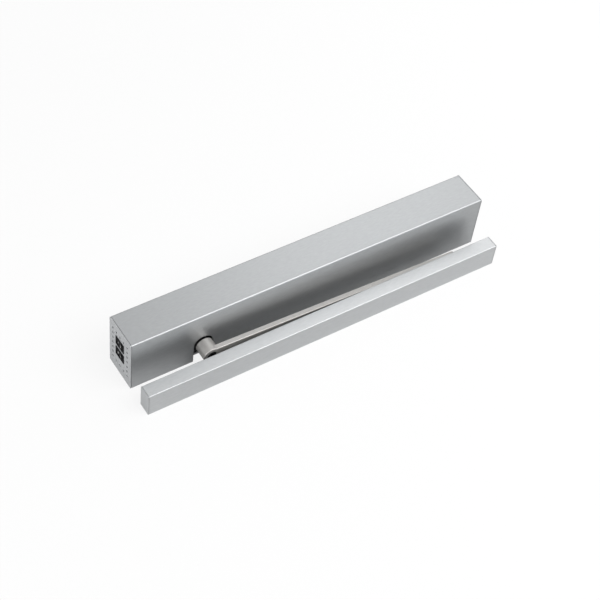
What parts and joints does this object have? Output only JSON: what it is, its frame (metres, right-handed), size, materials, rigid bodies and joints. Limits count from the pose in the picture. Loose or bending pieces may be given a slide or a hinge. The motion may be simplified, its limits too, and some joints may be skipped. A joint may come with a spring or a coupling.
{
  "type": "door closer",
  "caption": "Electric swing-door closer: long aluminium housing with end-cap rocker switches, a sprung geared spindle, a flat arm and a separate slide rail for the door leaf.",
  "frame": {"origin": "middle of the housing's mounting face, where it lies on the wall", "axes": "+X along the housing away from the switch end, +Z out of the wall, -Y towards the side where the spindle comes out (downwards once on the wall)"},
  "size_m": [0.6898, 0.1287, 0.107],
  "materials": {
    "anodised": "satin anodised",
    "cap_grey": "fine matt, silver grey",
    "plate": "mill finish",
    "black_plastic": "satin black",
    "arm_paint": "satin warm grey paint",
    "black_oxide": "blackened steel",
    "zinc": "zinc plated",
    "steel": "machined and oiled",
    "sintered": "sintered iron, oil soaked",
    "frame_black": "matt black paint",
    "casting": "as cast",
    "motor_black": "satin black paint",
    "spring_steel": "oil hardened wire",
    "guide_plastic": "natural acetal",
    "board_green": "solder mask",
    "component_black": "moulded",
    "terminal_green": "moulded",
    "terminal_white": "moulded",
    "supply_case": "sheet, mill finish",
    "rubber": "matt"
  },
  "bodies": {
    "housing": {"base_plate": "plate", "cover": "anodised", "left_end_cap": "cap_grey", "right_end_cap": "cap_grey", "cap_screws": "zinc", "power_switch_body": "black_plastic", "program_switch_body": "black_plastic", "frame_plate_front": "frame_black", "frame_plate_rear": "frame_black", "frame_pillars": "frame_black", "frame_screws": "zinc", "spindle_bush_front": "sintered", "spindle_bush_rear": "sintered", "gearbox": "casting", "gearbox_screws": "zinc", "motor": "motor_black", "motor_support": "plate", "rack_guide": "guide_plastic", "spring_abutment": "plate", "closing_spring": "spring_steel", "control_board": "board_green", "board_spacers": "guide_plastic", "board_components": "component_black", "terminal_strips": "terminal_green", "power_supply": "supply_case", "mains_terminal": "terminal_white"},
    "arm": {"spindle": "black_oxide", "spindle_ring": "steel", "main_gear": "steel", "rack_pinion": "steel", "arm": "arm_paint", "arm_screw": "black_oxide", "slider_pin": "steel", "slider_clip": "steel"},
    "slider": {"slider_block": "black_plastic"},
    "rail": {"rail_track": "anodised", "rail_cover": "anodised", "rail_cap_left": "cap_grey", "rail_cap_right": "cap_grey", "stop_clamp": "zinc", "stop_screw": "black_oxide", "stop_bumper": "rubber"},
    "power_rocker": {"power_switch_rocker": "black_plastic"},
    "program_rocker": {"program_switch_rocker": "black_plastic"},
    "rack": {"spring_rack": "steel"},
    "pinion": {"drive_pinion": "steel"},
    "tension_screw": {"tension_screw": "black_oxide"},
    "seat": {"spring_seat": "guide_plastic"}
  },
  "joints": [
    {"name": "arm_swing", "type": "hinge", "parent": "housing", "child": "arm", "pos_m": [-0.21, 0, 0.0375], "axis": [0, -1, 0], "range_deg": [0, 115], "stiffness_Nm_per_rad": 6, "springref_deg": -22.92},
    {"name": "slider_pivot", "type": "hinge", "parent": "arm", "child": "slider", "pos_m": [0.27503, -0.0717, 0.0185], "axis": [0, 1, 0], "range_deg": [-5, 60]},
    {"name": "rail_slide", "type": "slide", "parent": "slider", "child": "rail", "axis": [1, 0, 0], "range_m": [-0.03, 0.2]},
    {"name": "power_rocker_tilt", "type": "hinge", "parent": "housing", "child": "power_rocker", "pos_m": [-0.3397, 0, 0.0741], "axis": [0, 0, 1], "range_deg": [0, 12]},
    {"name": "program_rocker_tilt", "type": "hinge", "parent": "housing", "child": "program_rocker", "pos_m": [-0.3397, 0, 0.049], "axis": [0, 0, 1], "range_deg": [0, 12]},
    {"name": "rack_slide", "type": "slide", "parent": "housing", "child": "rack", "axis": [1, 0, 0], "range_m": [0, 0.0302], "deforming": ["closing_spring"]},
    {"name": "pinion_spin", "type": "hinge", "parent": "housing", "child": "pinion", "pos_m": [-0.18012, 0, 0.06257], "axis": [0, -1, 0], "range_deg": [-384, 0]},
    {"name": "tension_turn", "type": "hinge", "parent": "housing", "child": "tension_screw", "pos_m": [0.0253, -0.005, 0.022], "axis": [1, 0, 0], "range_deg": [0, 720]},
    {"name": "seat_slide", "type": "slide", "parent": "housing", "child": "seat", "axis": [-1, 0, 0], "range_m": [0, 0.00601]}
  ],
  "couplings": [
    {"joint": "rack_slide", "follows": "arm_swing", "m_per_rad": 0.015},
    {"joint": "pinion_spin", "follows": "arm_swing", "ratio": -3.3333},
    {"joint": "seat_slide", "follows": "tension_turn", "m_per_rad": 0.00047746}
  ]
}
